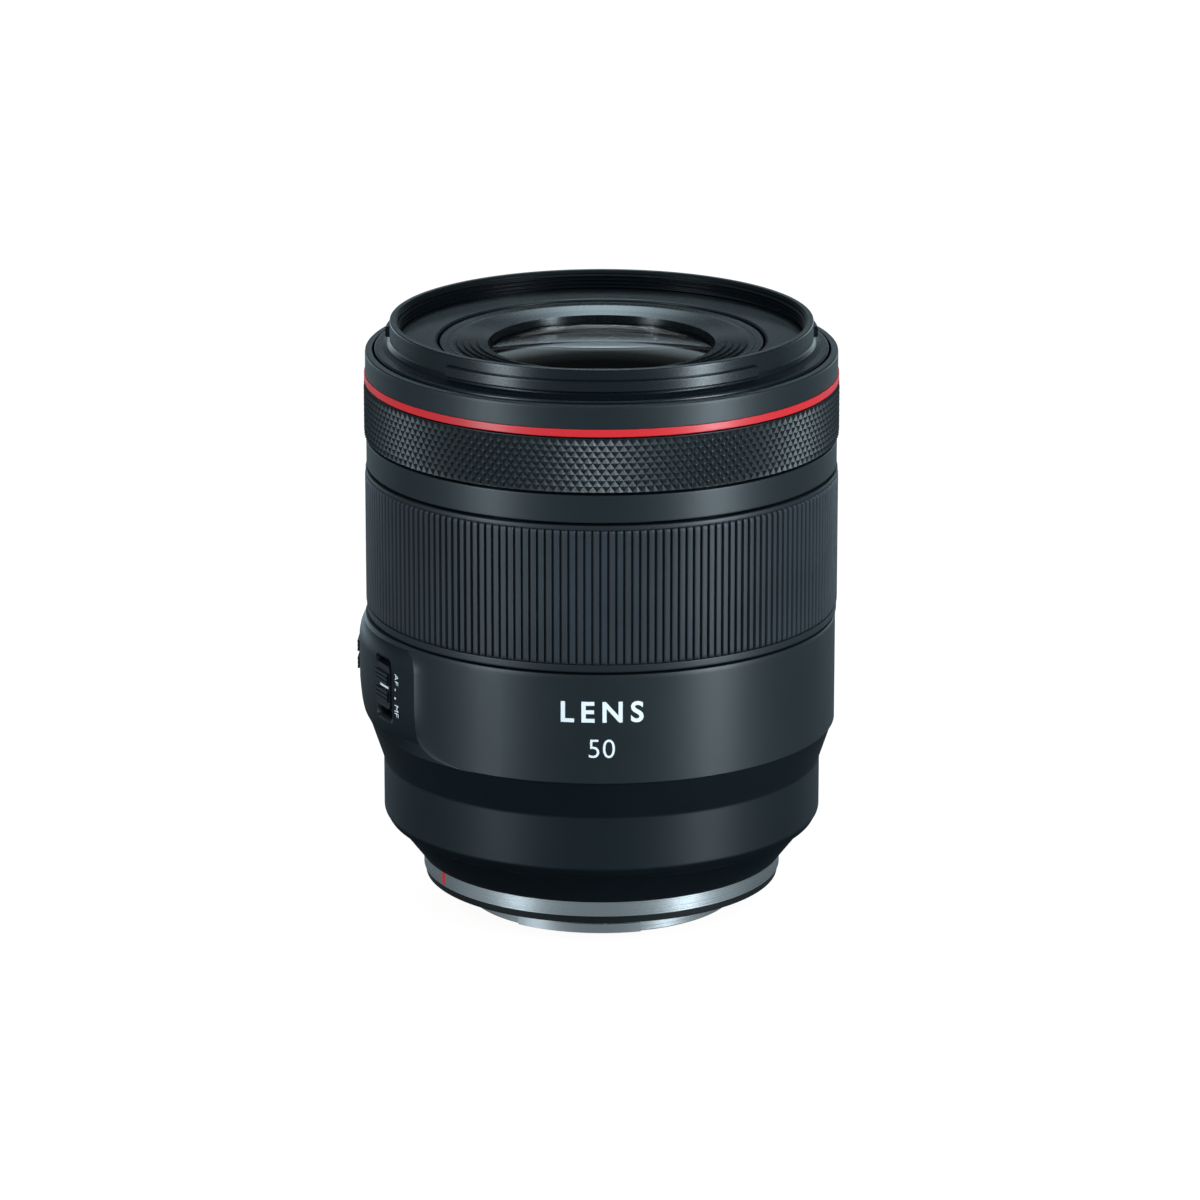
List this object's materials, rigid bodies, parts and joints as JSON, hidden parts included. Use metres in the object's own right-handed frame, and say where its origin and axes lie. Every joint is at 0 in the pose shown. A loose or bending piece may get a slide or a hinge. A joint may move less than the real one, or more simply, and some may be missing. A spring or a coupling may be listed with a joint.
{
  "type": "fast normal prime camera lens",
  "caption": "Fixed focal length camera lens with a bayonet foot, ribbed focus ring, knurled control ring, two slide switches and a wide front glass.",
  "frame": {"origin": "on the optical axis, in the plane of the flat flange face that meets the camera body", "axes": "+Z along the optical axis towards the front glass; -Y is the side with the focal length; the switch panel is towards -X"},
  "size_m": [0.0917, 0.09, 0.1136],
  "materials": {
    "satin_black": "satin",
    "matte_black_plastic": "matte",
    "red_band": "satin",
    "knurled_ring": "satin",
    "focus_metal": "satin",
    "grip_rubber": "ribbed matte",
    "rear_black": "fine satin",
    "switch_plastic": "fine satin",
    "molded_plastic": "matte",
    "inner_black_metal": "matte",
    "cam_metal": "satin",
    "brass": "turned",
    "steel": "ground",
    "mount_metal": "turned satin",
    "seal_rubber": "smooth",
    "red_paint": "gloss",
    "black_steel": "satin",
    "gold_contacts": "polished",
    "circuit_board": "solder mask",
    "coated_glass": "multi-coated",
    "blade_steel": "matte"
  },
  "bodies": {
    "barrel": {"assembly_screws": "black_steel", "body_shell": "satin_black", "cam_retainer": "brass", "click_ball": "steel", "click_spring": "steel", "contact_block": "molded_plastic", "contact_pins": "gold_contacts", "filter_barrel": "satin_black", "front_bezel": "matte_black_plastic", "glass_group_8": "coated_glass", "glass_group_9": "coated_glass", "guide_barrel": "inner_black_metal", "main_barrel": "inner_black_metal", "main_board": "circuit_board", "middle_ring": "satin_black", "mount_index": "red_paint", "mount_ring": "mount_metal", "mount_screws": "black_steel", "mount_seal": "seal_rubber", "rear_barrel": "rear_black", "rear_cover": "molded_plastic", "rear_group_cell": "molded_plastic", "red_ring": "red_band", "shoulder_ring": "satin_black", "switch_contacts": "molded_plastic", "usm_stator": "steel", "usm_wave_spring": "steel"},
    "control_ring": {"control_ring": "knurled_ring"},
    "focus_ring": {"focus_ring": "focus_metal", "focus_grip": "grip_rubber"},
    "focus_mode_switch": {"focus_mode_switch": "switch_plastic"},
    "focus_limit_switch": {"focus_limit_switch": "switch_plastic"},
    "focus_cam": {"cam_barrel": "cam_metal", "usm_rotor": "cam_metal"},
    "focus_group": {"focus_carrier": "inner_black_metal", "cam_rollers": "brass", "front_cell": "inner_black_metal", "front_retainer": "inner_black_metal", "rear_cell": "inner_black_metal", "lens_spacers": "inner_black_metal", "iris_base": "molded_plastic", "iris_cover": "inner_black_metal", "glass_group_1": "coated_glass", "glass_group_2": "coated_glass", "glass_group_3": "coated_glass", "glass_group_4": "coated_glass", "glass_group_5": "coated_glass", "glass_group_6": "coated_glass", "glass_group_7": "coated_glass"},
    "iris_ring": {"iris_ring": "molded_plastic"},
    "iris_blade_01": {"iris_blade_01": "blade_steel"},
    "iris_blade_02": {"iris_blade_02": "blade_steel"},
    "iris_blade_03": {"iris_blade_03": "blade_steel"},
    "iris_blade_04": {"iris_blade_04": "blade_steel"},
    "iris_blade_05": {"iris_blade_05": "blade_steel"},
    "iris_blade_06": {"iris_blade_06": "blade_steel"},
    "iris_blade_07": {"iris_blade_07": "blade_steel"},
    "iris_blade_08": {"iris_blade_08": "blade_steel"},
    "iris_blade_09": {"iris_blade_09": "blade_steel"},
    "iris_blade_10": {"iris_blade_10": "blade_steel"}
  },
  "joints": [
    {"name": "control_ring_turn", "type": "hinge", "parent": "barrel", "child": "control_ring", "pos_m": [0, 0, 0.091], "axis": [0, 0, 1], "continuous": true},
    {"name": "focus_ring_turn", "type": "hinge", "parent": "barrel", "child": "focus_ring", "pos_m": [0, 0, 0.066], "axis": [0, 0, 1], "continuous": true},
    {"name": "focus_mode_slide", "type": "slide", "parent": "barrel", "child": "focus_mode_switch", "axis": [0, 0, -1], "range_m": [0, 0.002]},
    {"name": "focus_limit_slide", "type": "slide", "parent": "barrel", "child": "focus_limit_switch", "axis": [0, 0, -1], "range_m": [0, 0.002]},
    {"name": "focus_travel", "type": "slide", "parent": "barrel", "child": "focus_group", "axis": [0, 0, 1], "range_m": [0, 0.004]},
    {"name": "cam_turn", "type": "hinge", "parent": "barrel", "child": "focus_cam", "pos_m": [0, 0, 0.06], "axis": [0, 0, 1], "range_deg": [0, 90]},
    {"name": "iris_ring_turn", "type": "hinge", "parent": "focus_group", "child": "iris_ring", "pos_m": [0, 0, 0.0639], "axis": [0, 0, 1], "range_deg": [0, 20]},
    {"name": "iris_blade_01_turn", "type": "hinge", "parent": "focus_group", "child": "iris_blade_01", "pos_m": [0.0285, 0, 0.0621], "axis": [0, 0, 1], "range_deg": [0, 35.02]},
    {"name": "iris_blade_02_turn", "type": "hinge", "parent": "focus_group", "child": "iris_blade_02", "pos_m": [0.02306, 0.01675, 0.0621], "axis": [0, 0, 1], "range_deg": [0, 35.02]},
    {"name": "iris_blade_03_turn", "type": "hinge", "parent": "focus_group", "child": "iris_blade_03", "pos_m": [0.00881, 0.02711, 0.0621], "axis": [0, 0, 1], "range_deg": [0, 35.02]},
    {"name": "iris_blade_04_turn", "type": "hinge", "parent": "focus_group", "child": "iris_blade_04", "pos_m": [-0.00881, 0.02711, 0.0621], "axis": [0, 0, 1], "range_deg": [0, 35.02]},
    {"name": "iris_blade_05_turn", "type": "hinge", "parent": "focus_group", "child": "iris_blade_05", "pos_m": [-0.02306, 0.01675, 0.0621], "axis": [0, 0, 1], "range_deg": [0, 35.02]},
    {"name": "iris_blade_06_turn", "type": "hinge", "parent": "focus_group", "child": "iris_blade_06", "pos_m": [-0.0285, 0, 0.0621], "axis": [0, 0, 1], "range_deg": [0, 35.02]},
    {"name": "iris_blade_07_turn", "type": "hinge", "parent": "focus_group", "child": "iris_blade_07", "pos_m": [-0.02306, -0.01675, 0.0621], "axis": [0, 0, 1], "range_deg": [0, 35.02]},
    {"name": "iris_blade_08_turn", "type": "hinge", "parent": "focus_group", "child": "iris_blade_08", "pos_m": [-0.00881, -0.02711, 0.0621], "axis": [0, 0, 1], "range_deg": [0, 35.02]},
    {"name": "iris_blade_09_turn", "type": "hinge", "parent": "focus_group", "child": "iris_blade_09", "pos_m": [0.00881, -0.02711, 0.0621], "axis": [0, 0, 1], "range_deg": [0, 35.02]},
    {"name": "iris_blade_10_turn", "type": "hinge", "parent": "focus_group", "child": "iris_blade_10", "pos_m": [0.02306, -0.01675, 0.0621], "axis": [0, 0, 1], "range_deg": [0, 35.02]}
  ],
  "couplings": [
    {"joint": "cam_turn", "follows": "focus_travel", "rad_per_m": 392.7},
    {"joint": "iris_blade_01_turn", "follows": "iris_ring_turn", "ratio": 1.751},
    {"joint": "iris_blade_02_turn", "follows": "iris_ring_turn", "ratio": 1.751},
    {"joint": "iris_blade_03_turn", "follows": "iris_ring_turn", "ratio": 1.751},
    {"joint": "iris_blade_04_turn", "follows": "iris_ring_turn", "ratio": 1.751},
    {"joint": "iris_blade_05_turn", "follows": "iris_ring_turn", "ratio": 1.751},
    {"joint": "iris_blade_06_turn", "follows": "iris_ring_turn", "ratio": 1.751},
    {"joint": "iris_blade_07_turn", "follows": "iris_ring_turn", "ratio": 1.751},
    {"joint": "iris_blade_08_turn", "follows": "iris_ring_turn", "ratio": 1.751},
    {"joint": "iris_blade_09_turn", "follows": "iris_ring_turn", "ratio": 1.751},
    {"joint": "iris_blade_10_turn", "follows": "iris_ring_turn", "ratio": 1.751}
  ]
}
